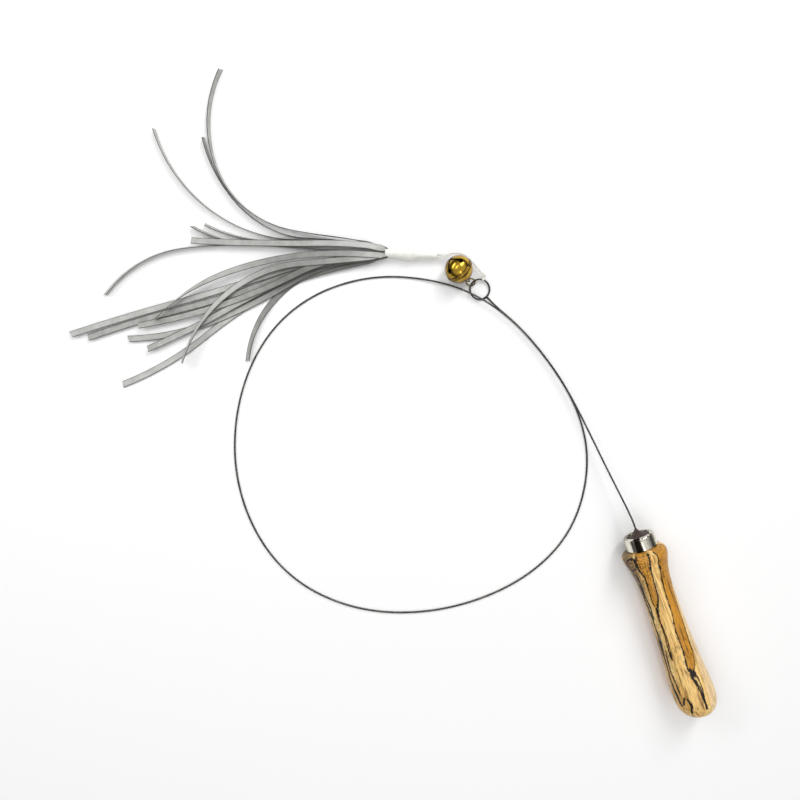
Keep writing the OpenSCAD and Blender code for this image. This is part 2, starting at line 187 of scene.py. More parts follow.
def meshObject(name, vertices, faces):
    mesh = bpy.data.meshes.new(name)
    mesh.from_pydata(vertices, [], faces)
    mesh.polygons.foreach_set("use_smooth", [True] * len(mesh.polygons))
    piece = bpy.data.objects.new(name, mesh)
    scene.collection.objects.link(piece)
    return piece


# Tubes along one or more lines, as one mesh
def tubes(name, lines, radiusAt, sides):
    vertices, faces = [], []
    for points in lines:
        base, last = len(vertices), len(points) - 1
        for i, (point, across, up) in enumerate(lineFrames(points)):
            for k in range(sides):
                angle = 2 * pi * k / sides
                vertices.append(point + radiusAt(i, angle) * (cos(angle) * across + sin(angle) * up))
        for i in range(last):
            for k in range(sides):
                a, b = base + i * sides + k, base + i * sides + (k + 1) % sides
                faces.append((a, b, b + sides, a + sides))
        faces.append(tuple(base + k for k in reversed(range(sides))))
        faces.append(tuple(base + last * sides + k for k in range(sides)))
    return meshObject(name, vertices, faces)


def onlySelect(piece):
    bpy.ops.object.select_all(action="DESELECT")
    piece.select_set(True)
    bpy.context.view_layer.objects.active = piece


def joinAll(pieces):
    onlySelect(pieces[0])
    for piece in pieces[1:]:
        piece.select_set(True)
    bpy.ops.object.join()
    return bpy.context.object


def plainGrid(steps):
    bpy.ops.object.select_all(action="DESELECT")
    bpy.ops.mesh.primitive_grid_add(x_subdivisions=steps, y_subdivisions=4, size=1, calc_uvs=True)
    return bpy.context.object


# Ends edit mode with doubled vertices welded and the normals outwards
def weld(nearest):
    bpy.ops.mesh.select_all(action="SELECT")
    bpy.ops.mesh.remove_doubles(threshold=nearest)
    bpy.ops.mesh.normals_make_consistent(inside=False)
    bpy.ops.object.mode_set(mode="OBJECT")


def applyModifier(piece, kind, **settings):
    onlySelect(piece)
    modifier = piece.modifiers.new(kind.lower(), kind)
    for name, value in settings.items():
        setattr(modifier, name, value)
    bpy.ops.object.modifier_apply(modifier=modifier.name)


def settle(piece, matrix):
    onlySelect(piece)
    piece.matrix_world = matrix
    bpy.ops.object.transform_apply(location=True, rotation=True, scale=True)


def placed(at, turn=(0, 0, 0)):
    return Matrix.Translation([v * mm for v in at]) @ Euler([radians(a) for a in turn]).to_matrix().to_4x4()


# A turned piece about +Z: each row is (height, radius) in millimetres
def turned(name, rows, sides, matrix, levels, joined=False):
    bpy.ops.object.select_all(action="DESELECT")
    bpy.ops.mesh.primitive_circle_add(vertices=sides, radius=rows[0][1] * mm, location=(0, 0, rows[0][0] * mm),
                                      fill_type="NOTHING" if joined else "NGON")
    piece = bpy.context.object
    piece.name = piece.data.name = name
    bpy.ops.object.transform_apply(location=True)
    bpy.ops.object.mode_set(mode="EDIT")
    bpy.ops.mesh.select_all(action="SELECT")
    for before, row in zip(rows, rows[1:]):
        bpy.ops.mesh.extrude_region_move(TRANSFORM_OT_translate={"value": (0, 0, (row[0] - before[0]) * mm)})
        size = row[1] / before[1]
        bpy.ops.transform.resize(value=(size, size, 1), center_override=(0, 0, row[0] * mm))
    weld(1e-6)
    applyModifier(piece, "SUBSURF", levels=levels, render_levels=levels)
    bpy.ops.object.shade_smooth()
    settle(piece, matrix)
    return piece


# A bent wire: a curve with a round section, made a mesh
def bentWire(name, points, radius, matrix, smooth, sides, cyclic=False):
    curve = bpy.data.curves.new(name, "CURVE")
    curve.dimensions = "3D"
    curve.bevel_depth = radius * mm
    curve.bevel_resolution = sides
    curve.use_fill_caps = not cyclic
    spline = curve.splines.new("NURBS")
    spline.points.add(len(points) - 1)
    for point, place in zip(spline.points, points):
        point.co = (place[0] * mm, place[1] * mm, place[2] * mm, 1)
    spline.order_u = 4
    spline.resolution_u = smooth
    spline.use_endpoint_u = not cyclic
    spline.use_cyclic_u = cyclic
    piece = bpy.data.objects.new(name, curve)
    scene.collection.objects.link(piece)
    onlySelect(piece)
    bpy.ops.object.convert(target="MESH")
    piece = bpy.context.object
    bpy.ops.object.mode_set(mode="EDIT")
    weld(1e-7)
    bpy.ops.object.shade_smooth()
    settle(piece, matrix)
    return piece


def cutBy(piece, cutter):
    applyModifier(piece, "BOOLEAN", object=cutter, operation="DIFFERENCE", solver="EXACT")
    bpy.data.objects.remove(cutter)


def dress(piece, body, material, slot, *nodes):
    piece.data.materials.clear()
    piece.data.materials.append(material)
    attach(piece, body)
    if nodes:
        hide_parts(*nodes)


def repaint(node, material):
    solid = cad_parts[node]
    solid.data.materials.clear()
    solid.data.materials.append(material)


# Places shared with the solids
handle = {"mouth": (140.4, -123.0, 13.937), "pitch": 0.6289, "woodStart": 8.6, "woodLength": 109.9,
          "headRadius": 13.8, "buttRadius": 12.8}
handleTurn = (handle["pitch"] - 90, 0, 0)
handleMatrix = placed(handle["mouth"], handleTurn)
handleAlong = Vector((0, cos(radians(handle["pitch"])), sin(radians(handle["pitch"]))))
bell = {"mid": (92.219, 70.0426, 8.75), "pitch": 28.4655, "heading": 118.0, "radius": 8.75, "wall": 0.6,
        "seam": 0.5, "slot": 0.9, "hole": 1.2, "reach": 51.0, "turn": 60.0, "shank": 0.42, "bow": 1.7, "rise": 0.4,
        "leg": 0.6, "sunk": 0.3, "fuller": 1.02, "shankTurn": 135.0, "overrun": 0.5, "holeDeep": 3.0,
        "softEdge": 0.09, "grooveAt": 1.00, "grooveRadius": 8.80, "grooveWide": 0.36, "grooveDeep": 0.22}
bellTurn = (0, 90 + bell["pitch"], bell["heading"] + 180)
bellMatrix = placed(bell["mid"], bellTurn)
sleeve = {"at": (53.4, 95.9, 4.5), "heading": 157.6, "length": 32.0, "wall": 0.5, "notch": 2.3,
          "notchWide": 0.55, "lip": 1.1, "mouthLong": 5.0, "crease": 0.14, "ridge": 0.05}


# Finishes
def spaltedWood():
    look = {"cream": (1.0, 0.72, 0.29, 1), "tan": (0.74, 0.385, 0.080, 1), "orange": (0.58, 0.242, 0.009, 1),
            "pale": (1.0, 0.745, 0.42, 1), "line": (0.008, 0.005, 0.003, 1), "speck": (0.050, 0.026, 0.008, 1),
            "warm": (0.74, 0.335, 0.028, 1), "fibre": (0.33, 0.15, 0.030, 1), "leftStainAndShade": (0.075, 0.040, 0.012, 1),
            "knot": (0.26, 0.125, 0.030, 1), "endGrain": (0.40, 0.24, 0.11, 1)}
    material, place = startMaterial("spaltedWood")
    local = centred(place, handle["mouth"], handleTurn)
    x, y, z = parts(local)
    along = z * (-1 / ((handle["woodStart"] + handle["woodLength"]) * mm))
    turn = x.sum("ARCTAN2", x, y * -1) * (180 / pi)
    wander = longGrain(local, (260, 260, 60), 3.0)
    coarse = longGrain(local, (90, 90, 22), 2.0)
    ragged = longGrain(local, (1300, 1300, 420), 3.0, 0.6)
    turn = turn + (wander - 0.5) * 16 + (coarse - 0.5) * 14 + (ragged - 0.5) * 9
    fibre = longGrain(local, (1500, 1500, 45), 5.0, 0.65)
    streak = longGrain(local, (420, 420, 12), 3.0, 0.6)
    pores = longGrain(local, (5200, 5200, 420), 2.0)

    def edge(stops):
        ramp = along.node("ValToRGB", {"Fac": along}, stops=[(s, (a + 180) / 360) for s, a in stops])
        return along.node("RGBToBW", {"Color": ramp}) * 360 - 180

    def band(left, right, soft=1.5):
        return rise(turn - edge(left), 0.0, soft) * (1 - rise(turn - edge(right), -soft, 0.0))

    def stroke(middle, half, start, end, soft=0.012):
        near = 1 - rise(abs(turn - edge(middle)), half * 0.85, half * 1.65)
        return near * rise(along, start, start + soft) * (1 - rise(along, end - soft, end))

    orangeLeft = [(0.05, 6), (0.11, 15), (0.23, 12), (0.31, 8), (0.46, 2), (0.62, -2), (0.71, -6), (0.74, 2)]
    orangeRight = [(0.05, 68), (0.15, 66), (0.24, 74), (0.30, 50), (0.41, 41), (0.56, 36), (0.64, 31), (0.70, 20),
                   (0.74, 4)]
    centreLeft = [(0.05, -38), (0.15, -46), (0.20, -39), (0.27, -43), (0.35, -44), (0.38, -36)]
    centreRight = [(0.05, -8), (0.11, -8), (0.15, -14), (0.25, -18), (0.31, -22), (0.37, -34), (0.39, -38)]
    orangeBand = band(orangeLeft, orangeRight) * (1 - rise(along, 0.72, 0.74))
    centreBand = band(centreLeft, centreRight) * (1 - rise(along, 0.36, 0.38))
    palest = rise(turn - edge([(0.05, 70), (0.24, 78), (0.41, 48), (0.64, 36), (0.80, 24), (1, 18)]), -3.0, 6.0)
    tanWash = rise(coarse, 0.44, 0.62)

    colour = mixed(rise(streak, 0.35, 0.70), look["cream"], look["tan"])
    colour = mixed(tanWash * 0.45, colour, look["tan"])
    colour = mixed(palest * 0.88, colour, look["pale"])
    warm = mixed(rise(streak, 0.3, 0.75), look["orange"], look["warm"])
    colour = mixed((orangeBand + centreBand * 0.92) * 0.94, colour, warm)
    colour = mixed(rise(fibre, 0.46, 0.68) * 0.66, colour, look["fibre"])
    leftSide = rise(turn * -1, 30.0, 52.0)
    nearMouth = 1 - rise(along, 0.16, 0.34)
    flecks = longGrain(local, (1000, 1000, 260), 3.0, 0.6, at=(0.7, 0.2, 0.5))
    flecks = rise(flecks, 0.53, 0.59) * (0.18 + 0.82 * rise(coarse, 0.44, 0.60))
    flecks = flecks * (1 - palest * 0.85)
    colour = mixed(flecks * (0.50 + 0.42 * leftSide), colour, look["speck"])
    crumbs = longGrain(local, (1500, 1500, 760), 2.0, at=(0.1, 0.9, 0.3))
    crumbs = rise(crumbs, 0.52, 0.59) * sumCap(orangeBand * 0.55 + centreBand * 0.85 + leftSide, 1.0)
    crumbs = crumbs * (0.40 + 0.60 * nearMouth)
    colour = mixed(crumbs * 0.85, colour, look["speck"])
    # Darker left side of the head: partly the wood's own dark marks, partly painted shade
    leftStainAndShade = rise(turn * -1 + (wander - 0.5) * 60, 44.0, 74.0) * (1 - rise(along, 0.22, 0.40))
    colour = mixed(leftStainAndShade * 0.74, colour, look["leftStainAndShade"])
    longStreaks = longGrain(local, (900, 900, 26), 3.0, 0.6, at=(0.4, 0.6, 0.2))
    colour = mixed(rise(longStreaks, 0.57, 0.64) * 0.62 * (1 - palest * 0.5), colour, look["speck"])

    # Zone lines: drawn ones that follow the bands, and loose ones on the sides that the bands leave
    lines = [stroke(*row) for row in [
        (orangeLeft, 1.7, 0.07, 0.735), (orangeRight, 1.4, 0.16, 0.73),
        (centreLeft, 1.9, 0.07, 0.37), (centreRight, 2.2, 0.07, 0.38),
        ([(0.36, -36), (0.41, -43), (0.48, -43), (0.59, -45), (0.66, -42)], 2.2, 0.36, 0.66),
        ([(0.36, -34), (0.43, -41), (0.51, -38), (0.60, -37), (0.66, -42)], 1.6, 0.37, 0.66),
        ([(0.35, -35), (0.40, -40), (0.44, -42)], 4.0, 0.36, 0.44, 0.03),
        ([(0.22, -72), (0.34, -80), (0.44, -74), (0.53, -71), (0.62, -76), (0.75, -78), (0.91, -62)],
               3.6, 0.24, 0.91),
        ([(0.15, -70), (0.22, -64), (0.30, -70), (0.38, -66), (0.46, -72)], 2.8, 0.16, 0.46, 0.03),
        ([(0.60, -60), (0.72, -66), (0.86, -50)], 2.2, 0.60, 0.86, 0.04),
        ([(0.50, -71), (0.62, -77)], 6.5, 0.52, 0.64, 0.04),
        ([(0.70, 0), (0.76, -2), (0.82, 3), (0.94, 7)], 2.6, 0.70, 0.94),
        ([(0.71, 8), (0.76, 12), (0.82, 11), (0.94, 3)], 2.0, 0.71, 0.94),
        ([(0.70, 2), (0.77, 5)], 4.5, 0.71, 0.77, 0.02),
        ([(0.84, -38), (0.90, -30), (0.98, -42)], 2.6, 0.85, 0.97),
        ([(0.84, -40), (0.90, -52)], 3.0, 0.845, 0.90)]]
    branch = {"along": 0.122, "turn": -60, "long": 27, "wide": 16, "slant": 160}
    knotAlong = (along - branch["along"]) * branch["long"]
    knotTurn = (turn - branch["turn"] + (along - branch["along"]) * branch["slant"]) / branch["wide"]
    knotSpot = knotAlong * knotAlong + knotTurn * knotTurn
    knotRing = knotSpot.sum("SQRT", knotSpot) + (ragged - 0.5) * 0.75
    lines.append(1 - rise(abs(knotRing - 0.90), 0.10, 0.22))
    lines.append((1 - rise(abs(knotRing - 0.42), 0.05, 0.15)) * 0.75)
    colour = mixed((1 - rise(knotRing, 0.55, 0.95)) * 0.62, colour, look["knot"])
    spread = longGrain(local, (62, 62, 9), 3.0, 0.5, 0.4, at=(3.1, 1.7, 0.4))
    hidden = rise(abs(turn), 84.0, 96.0)
    lines.append((1 - rise(abs(spread - 0.50), 0.006, 0.014)) * hidden)
    lines.append((1 - rise(abs(spread - 0.60), 0.004, 0.010)) * hidden)
    ink = lines[0]
    for line in lines[1:]:
        ink = ink.sum("MAXIMUM", ink, line)
    broken = rise(wander, 0.26, 0.38)
    colour = mixed(rise(spread, 0.50, 0.515) * hidden * 0.85, colour, warm)
    colour = mixed(ink * (0.70 + 0.30 * broken), colour, look["line"])
    endGrain = rise(along, 0.975, 1.0)
    colour = mixed(endGrain * 0.25, colour, look["endGrain"])
    height = fibre * 0.6 + pores * 0.4 - ink * 0.5
    return closeMaterial(material, colour, {
        "Roughness": 0.36 + fibre * 0.16 + ink * 0.12, "Coat Weight": 0.04, "Coat Roughness": 0.25,
        "Specular IOR Level": 0.35}, height, 0.00012, 0.35)


def brightNickel():
    look = {"bright": (0.80, 0.76, 0.66, 1), "worn": (0.58, 0.53, 0.42, 1), "paintedDarkAndTarnish": (0.060, 0.049, 0.022, 1),
            "streak": (0.007, 0.005, 0.003, 1), "leftAt": -27, "rightAt": 40}
    material, place = startMaterial("brightNickel")
    local = centred(place, handle["mouth"], handleTurn)
    x, y, _ = parts(local)
    turn = x.sum("ARCTAN2", x, y * -1) * (180 / pi)
    rings = longGrain(local, (60, 60, 9000), 2.0)
    tarnishAndShade = longGrain(local, (330, 330, 40), 4.0, 0.6, at=(0.2, 0.5, 0.1))
    smear = grain(place, 260.0, 4.0)
    scratches = longGrain(local, (2400, 2400, 700), 2.0)
    colour = mixed(rise(smear, 0.40, 0.75), look["bright"], look["worn"])
    # Painted reflections: two dark bands along the ferrule and darker sides, standing in for dark surroundings
    # mirrored in the metal; the tarnish noise bends the bands and adds real tarnish
    uneven = turn + (tarnishAndShade - 0.5) * 18
    leftDarkReflection = 1 - rise(abs(uneven - look["leftAt"]), 8.0, 15.0)
    rightDarkReflection = 1 - rise(abs(uneven - look["rightAt"]), 6.0, 12.0)
    paintedDarkAndTarnish = leftDarkReflection * 0.95 + rightDarkReflection * 0.80 + rise(abs(uneven), 66.0, 95.0) * 0.60
    paintedDarkAndTarnish = sumCap(paintedDarkAndTarnish + rise(tarnishAndShade, 0.50, 0.62) * 0.40, 0.96)
    colour = mixed(paintedDarkAndTarnish, colour, look["paintedDarkAndTarnish"])
    # Painted reflection: the left band taken down to near black
    colour = mixed(leftDarkReflection * 0.92, colour, look["streak"])
    return closeMaterial(material, colour, {
        "Metallic": 1.0, "Roughness": 0.13 + smear * 0.10 + rise(scratches, 0.62, 0.72) * 0.12 + paintedDarkAndTarnish * 0.10},
        rings * 0.7 + smear * 0.6, 0.00002, 0.25)


def darkPotting():
    material, place = startMaterial("darkPotting")
    clouds = grain(place, 700.0, 4.0)
    specks = grain(place, 4200.0, 2.0)
    colour = mixed(rise(clouds, 0.35, 0.70), (0.030, 0.014, 0.010, 1), (0.068, 0.038, 0.030, 1))
    colour = mixed(rise(specks, 0.66, 0.74) * 0.5, colour, (0.14, 0.09, 0.07, 1))
    return closeMaterial(material, colour, {"Roughness": 0.42 + clouds * 0.25}, clouds + specks * 0.3,
                         0.00012, 0.5)


def darkSteel(name, light, deep, shine):
    material, place = startMaterial(name)
    wear = grain(place, 900.0, 5.0, 0.6)
    tint = grain(place, 140.0, 3.0)
    colour = mixed(rise(wear, 0.38, 0.66), deep, light)
    colour = mixed(rise(tint, 0.50, 0.70) * 0.5, colour, (0.20, 0.17, 0.14, 1))
    return closeMaterial(material, colour, {"Metallic": 0.85, "Roughness": shine + wear * 0.22},
                         wear, 0.00003, 0.5)


def agedBrass():
    material, place = startMaterial("agedBrass")
    patina = grain(place, 1300.0, 5.0, 0.6)
    broad = grain(place, 420.0, 3.0)
    colour = mixed(rise(broad, 0.35, 0.65), (0.34, 0.24, 0.09, 1), (0.13, 0.085, 0.035, 1))
    colour = mixed(rise(patina, 0.50, 0.68) * 0.85, colour, (0.045, 0.028, 0.016, 1))
    return closeMaterial(material, colour, {"Metallic": 0.9, "Roughness": 0.24 + patina * 0.25},
                         patina, 0.00004, 0.4)


def goldPlate():
    look = {"gold": (0.60, 0.38, 0.044, 1), "deepGold": (0.38, 0.23, 0.020, 1), "spot": (0.26, 0.13, 0.020, 1),
            "tarnishAndShade": (0.17, 0.098, 0.012, 1), "grimeAndShade": (0.050, 0.026, 0.005, 1), "inside": (0.010, 0.006, 0.003, 1)}
    material, place = startMaterial("goldPlate")
    local = centred(place, bell["mid"], bellTurn)
    deep = place.node("VectorMath", {0: local}, 1, operation="LENGTH")
    # Painted shade: the inner face of the shell near black and not metallic, standing in for the shade inside the
    # bell
    inside = 1 - rise(deep, (bell["radius"] - 0.42) * mm, (bell["radius"] - 0.22) * mm)
    x, y, along = parts(local)
    _, _, high = parts(place)
    broad = grain(place, 160.0, 3.0)
    fine = grain(place, 2600.0, 4.0)
    spots = grain(place, 1100.0, 3.0)
    smudge = grain(place, 340.0, 4.0, 0.6)
    # Painted shade: the bell darkened towards the table on its lower part
    tarnishAndShade = (1 - rise(high + (smudge - 0.5) * 0.004, 0.0085, 0.0155)) * 0.90
    seamGrime = (1 - rise(abs(along - bell["seam"] * mm) + (smudge - 0.5) * 0.0012, 0.0011, 0.0022)) * 0.45
    colour = mixed(rise(broad, 0.38, 0.66), look["gold"], look["deepGold"])
    colour = mixed(rise(spots, 0.60, 0.74) * 0.6, colour, look["spot"])
    # Real smudges and seam dirt, together with the painted shade on the lower part
    dirtAndShade = sumCap(tarnishAndShade + seamGrime + rise(smudge, 0.52, 0.68) * 0.35, 0.95)
    colour = mixed(dirtAndShade, colour, look["tarnishAndShade"])
    turn, reach = radians(bell["turn"]), radians(bell["reach"])
    holeOut, holeHigh = bell["radius"] * mm * sin(reach), -bell["radius"] * mm * cos(reach)
    first, second = x * cos(turn) + y * sin(turn), y * cos(turn) - x * sin(turn)
    slotEnd = 1 - rise(along, holeHigh - 0.0001, holeHigh + 0.0005)
    wobble = (smudge - 0.5) * 0.0010
    # Painted shade: dark bands round the slots and holes, standing in for the shade inside the bell seen through them
    for outwards, across in ((first, second), (second, first)):
        slotShade = (1 - rise(abs(across) + wobble, 0.0006, 0.00105)) * slotEnd
        apart = abs(outwards) - holeOut
        fromHole = apart * apart + across * across + (along - holeHigh) * (along - holeHigh)
        holeShade = 1 - rise(fromHole.sum("SQRT", fromHole) + wobble, 0.0014, 0.0021)
        colour = mixed(sumCap(slotShade + holeShade, 0.85), colour, look["grimeAndShade"])
    colour = mixed(inside, colour, look["inside"])
    return closeMaterial(material, colour, {
        "Metallic": 1 - inside, "Roughness": 0.13 + fine * 0.10 + spots * 0.05 + inside * 0.5 + tarnishAndShade * 0.10,
        "Coat Weight": (1 - inside) * 0.10, "Coat Roughness": 0.12},
        fine * 0.5 + spots * 0.5, 0.00003, 0.3)


def seamBronze():
    material, place = startMaterial("seamBronze")
    spots = grain(place, 1500.0, 4.0)
    colour = mixed(rise(spots, 0.36, 0.64), (0.115, 0.036, 0.010, 1), (0.040, 0.013, 0.005, 1))
    return closeMaterial(material, colour, {"Metallic": 0.6, "Roughness": 0.30 + spots * 0.25},
                         spots, 0.00004, 0.4)


def whiteYarn():
    material, place = startMaterial("whiteYarn")
    hairs = grain(place, 5200.0, 5.0, 0.7)
    soft = grain(place, 900.0, 3.0)
    colour = mixed(rise(soft, 0.35, 0.70), (0.88, 0.87, 0.82, 1), (0.74, 0.72, 0.66, 1))
    colour = mixed(rise(hairs, 0.55, 0.80) * 0.35, colour, (0.60, 0.58, 0.52, 1))
    return closeMaterial(material, colour, {"Roughness": 0.82, "Sheen Weight": 0.3, "Sheen Roughness": 0.5},
                         hairs, 0.00012, 0.7)


def whiteSleeve():
    material, place = startMaterial("whiteSleeve")
    soft = grain(place, 240.0, 3.0)
    fine = grain(place, 2400.0, 4.0)
    grimeAndShade = grain(place, 620.0, 5.0, 0.65)
    colour = mixed(rise(soft, 0.35, 0.70), (0.92, 0.915, 0.87, 1), (0.86, 0.855, 0.80, 1))
    colour = mixed(rise(grimeAndShade, 0.62, 0.80) * 0.30, colour, (0.62, 0.60, 0.55, 1))
    return closeMaterial(material, colour, {"Roughness": 0.30 + fine * 0.18}, soft * 0.6 + fine * 0.3,
                         0.00015, 0.5)


def softStrip(name, light, dark, edgeShade, rimStart=0.36):
    material, place = startMaterial(name)
    uv = place.node("UVMap", uv_map="UVMap")
    _, across, _ = parts(uv)
    nap = grain(place, 2600.0, 6.0, 0.7)
    fibre = grain(place, 7000.0, 3.0, 0.7)
    mottle = grain(place, 170.0, 4.0, 0.6)
    colour = mixed(rise(mottle, 0.36, 0.66), light, dark)
    colour = mixed(rise(nap, 0.42, 0.72) * 0.45, colour, tuple(0.62 * c for c in dark[:3]) + (1,))
    # Painted shade: each strip's edges darkened, standing in for the shade along its sides and in the gaps between
    # strips
    rim = rise(abs(across - 0.5), rimStart, rimStart + 0.10)
    colour = mixed(rim * 0.90, colour, edgeShade)
    _, _, high = parts(place)
    mouthAt = [v * mm for v in sleeve["at"]]
    outwards = place.node("VectorMath", {0: place, 1: mouthAt}, 1, operation="DISTANCE")
    # Painted shade: the lower strips darkened near the sleeve mouth, under the strips above them
    buriedShade = (1 - rise(high, 0.0022, 0.0060)) * rise(outwards, 0.004, 0.014) * (1 - rise(outwards, 0.045, 0.100))
    colour = mixed(buriedShade * 0.70, colour, (0.065, 0.065, 0.058, 1))
    out, aside, _ = parts(centred(place, sleeve["at"], (0, 0, sleeve["heading"])))
    lower = rise(aside, -0.0010, 0.0010)
    shaded = lower * rise(out, 0.010, 0.026) * (1 - rise(out, 0.055, 0.105))
    colour = mixed(shaded * 0.42, colour, (0.070, 0.070, 0.062, 1))
    # Painted light: the highest strips near the sleeve lightened, with their edges darkened again by the painted edge
    # shade
    exposedLight = rise(high, 0.0052, 0.0085) * rise(outwards, 0.003, 0.010) * (1 - rise(outwards, 0.060, 0.140))
    exposedLight = exposedLight * (1 - lower * 0.75)
    colour = mixed(exposedLight * 0.62, colour, (0.76, 0.765, 0.74, 1))
    colour = mixed(rim * exposedLight * 0.55, colour, edgeShade)
    return closeMaterial(material, colour, {"Roughness": 0.92, "Sheen Weight": 0.35, "Sheen Roughness": 0.45},
                         nap * 0.6 + fibre * 0.5, 0.00016, 0.8)


woodFinish = spaltedWood()
nickelFinish = brightNickel()
pottingFinish = darkPotting()
wireFinish = darkSteel("twistedSteel", (0.115, 0.112, 0.108, 1), (0.036, 0.035, 0.033, 1), 0.28)
eyeFinish = darkSteel("darkSteel", (0.085, 0.08, 0.075, 1), (0.025, 0.024, 0.023, 1), 0.26)
ballFinish = darkSteel("plainSteel", (0.50, 0.49, 0.47, 1), (0.34, 0.33, 0.31, 1), 0.22)
brassFinish = agedBrass()
goldFinish = goldPlate()
seamFinish = seamBronze()
yarnFinish = whiteYarn()
sleeveFinish = whiteSleeve()
stripFinishes = [
    softStrip("greyStrip", (0.51, 0.515, 0.49, 1), (0.41, 0.415, 0.39, 1), (0.045, 0.045, 0.038, 1)),
    softStrip("greyStripDark", (0.45, 0.455, 0.43, 1), (0.34, 0.345, 0.325, 1), (0.035, 0.035, 0.030, 1)),
    softStrip("greyStripLight", (0.57, 0.575, 0.55, 1), (0.47, 0.475, 0.45, 1), (0.055, 0.055, 0.048, 1))]
headFinish = softStrip("stripHeads", (0.51, 0.515, 0.49, 1), (0.40, 0.405, 0.38, 1), (0.026, 0.027, 0.016, 1), 0.37)
print("Finishes ready")

# Steel wire: three strands laid round each other, on the route of the solid
wire = {"radius": 0.6, "strands": 3, "pitch": 7.0, "groove": 0.22, "sides": 18, "perSpan": 38, "lead": 8.0,
        "exit": (140.4, -119.4, 13.9765), "end": (105.398, 45.9464, 0.6122), "endHeading": -65.5}
neckDirection = Vector((cos(radians(wire["endHeading"])), sin(radians(wire["endHeading"])), 0))
wireDescent = [
    (139, -96, 11.5), (137, -73, 7.6), (135, -48, 5.0), (132, -24, 4.0), (126, 0, 3.5), (118, 22, 3.2),
    (106, 42, 3.6), (90, 60, 3.2), (69, 74, 0.8)]
wireFlat = [
    (46, 84), (22, 88), (-1, 87), (-24, 80), (-44, 67), (-61, 49), (-74, 28), (-83, 5), (-87, -19), (-86, -43),
    (-80, -66), (-68, -87), (-51, -104), (-31, -117), (-8, -126), (16, -131), (41, -132), (65, -129), (88, -121),
    (107, -108), (122, -89), (132, -67), (135, -43), (132, -19), (125, 5), (116, 27)]
wireSteering = [Vector(wire["exit"]), Vector(wire["exit"]) + wire["lead"] * handleAlong]
wireSteering += [Vector(p) for p in wireDescent] + [Vector((x, y, wire["radius"])) for x, y in wireFlat]
wireSteering += [Vector(wire["end"]) + wire["lead"] * neckDirection, Vector(wire["end"])]
wirePoints = [p * mm for p in splinePoints(wireSteering, wire["perSpan"])]
wireStep = lineLength(wirePoints) / (len(wirePoints) - 1)


def strandRadius(i, angle):
    turn = 2 * pi * i * wireStep / (wire["pitch"] * mm)
    lobe = abs(cos(wire["strands"] / 2 * (angle - turn)))
    return wire["radius"] * mm * (1 - wire["groove"] * (1 - lobe))


wirePiece = tubes("steelWire", [wirePoints], strandRadius, wire["sides"])
dress(wirePiece, "wand", wireFinish, "wire_steel", "wire_cable")
lineLength(wirePoints)
print("Wire laid,", round(lineLength(wirePoints), 4), "m")

# White cord: two yarns that open out beside the sleeve
sleeveAlong = Vector((cos(radians(sleeve["heading"])), sin(radians(sleeve["heading"])), 0))
sleeveTip = Vector(sleeve["at"]) - sleeve["length"] * sleeveAlong
cord = {"radius": 0.55, "yarn": 0.30, "pitch": 5.0, "near": 0.27, "stray": 1.95, "sides": 10, "perSpan": 24,
        "start": (106.672, 62.7372, 1.7660)}
cordRoute = [(103.8, 69, 2.3), (102.2, 74, 3), (99.2, 78.4, 3.8), (94.6, 81.2, 4.3), (89, 82, 4.5)]
cordSteering = [cord["start"]] + cordRoute + [sleeveTip - 1.1 * sleeveAlong, sleeveTip]
cordPoints = [p * mm for p in splinePoints(cordSteering, cord["perSpan"])]
cordLength = lineLength(cordPoints)
yarns = []
for start in (0.0, pi):
    yarn = []
    for i, (point, across, up) in enumerate(lineFrames(cordPoints)):
        t = i / (len(cordPoints) - 1)
        stray = cord["stray"] * eased((t - 0.57) / 0.27) * (1 - 0.45 * eased((t - 0.90) / 0.10)) if start else 0.0
        turn = start + 2 * pi * t * cordLength / (cord["pitch"] * mm)
        yarn.append(point + cord["near"] * mm * (cos(turn) * across + sin(turn) * up)
                    + stray * mm * (across - 0.35 * up))
    yarns.append(yarn)


def yarnRadius(i, angle):
    return cord["yarn"] * mm * (1 + 0.10 * sin(3 * angle + 0.9 * i))


cordPiece = tubes("whiteCord", yarns, yarnRadius, cord["sides"])
dress(cordPiece, "lure", yarnFinish, "white_cord", "lure_cord")
print("White cord laid,", round(cordLength, 4), "m")

# Handle: turned wood, each row a share of the length and of the head's or the butt's radius
headRows = [
    (0.000, 0.80), (0.010, 0.92), (0.022, 0.98), (0.036, 1.00), (0.055, 0.985), (0.080, 0.925), (0.110, 0.85),
    (0.145, 0.785), (0.185, 0.738), (0.235, 0.712), (0.300, 0.706), (0.380, 0.715), (0.460, 0.738), (0.540, 0.762),
    (0.620, 0.795)]
buttRows = [
    (0.690, 0.885), (0.760, 0.942), (0.820, 0.985), (0.865, 1.000), (0.900, 0.985), (0.930, 0.935), (0.955, 0.845),
    (0.975, 0.700), (0.988, 0.530), (0.996, 0.320), (1.000, 0.03)]
outline = [(-handle["woodStart"] - share * handle["woodLength"], radius * size)
           for rows, size in ((headRows, handle["headRadius"]), (buttRows, handle["buttRadius"]))
           for share, radius in rows]
shoulder = [(-handle["woodStart"] + 0.02, 8.2), (-handle["woodStart"] + 0.02, 10.4)]
woodPiece = turned("woodHandle", shoulder + outline, 48, handleMatrix, 2)
dress(woodPiece, "wand", woodFinish, "handle_wood", "handle_wood")

